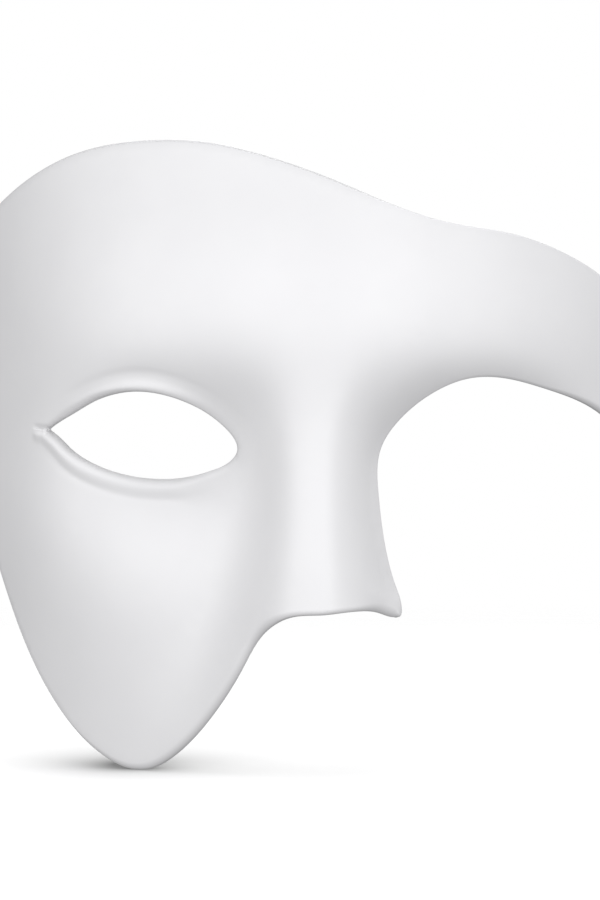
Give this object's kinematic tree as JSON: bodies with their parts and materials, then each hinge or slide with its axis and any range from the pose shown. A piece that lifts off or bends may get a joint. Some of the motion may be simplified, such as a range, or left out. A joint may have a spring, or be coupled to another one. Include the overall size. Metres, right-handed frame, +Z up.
{
  "type": "half-face masquerade mask",
  "caption": "Plain moulded half-face masquerade mask with an almond eye opening, a brow band over the other eye, foam pads and an adjustable elastic strap.",
  "frame": {"origin": "on the inside of the shell at the root of the nose, between the eyes", "axes": "+X towards the wearer's left, +Y from the shell into the wearer's face, +Z up"},
  "size_m": [0.1946, 0.0941, 0.1674],
  "materials": {
    "shell": "matte white moulded plastic with a very fine sprayed tooth",
    "foam": "soft brushed fabric over foam",
    "adhesive": "thin double-sided tape",
    "elastic": "woven elastic with fine lengthways ribs",
    "hardware": "semi-gloss moulded plastic",
    "thread": "polyester thread",
    "rivet": "white lacquered steel",
    "washer": "nickel plated"
  },
  "bodies": {
    "mask": {"mask_shell": "shell", "forehead_pad": "foam", "forehead_pad_adhesive": "adhesive", "brow_pad": "foam", "brow_pad_adhesive": "adhesive", "cheek_pad": "foam", "cheek_pad_adhesive": "adhesive", "temple_pad_right": "foam", "temple_pad_right_adhesive": "adhesive", "temple_pad_left": "foam", "temple_pad_left_adhesive": "adhesive", "strap_long": "elastic", "strap_tail": "elastic", "strap_short": "elastic", "strap_ring": "hardware", "end_stitches": "thread", "rivet_right": "rivet", "rivet_left": "rivet", "rivet_washer_right": "washer", "rivet_washer_left": "washer"},
    "slider": {"strap_slider": "hardware", "strap_tail_loop": "elastic", "loop_stitches": "thread"}
  },
  "joints": [
    {"name": "slider_slide", "type": "slide", "parent": "mask", "child": "slider", "axis": [0.9947, -0.1033, 0], "range_m": [0, 0.03], "deforming": ["strap_tail"]}
  ]
}
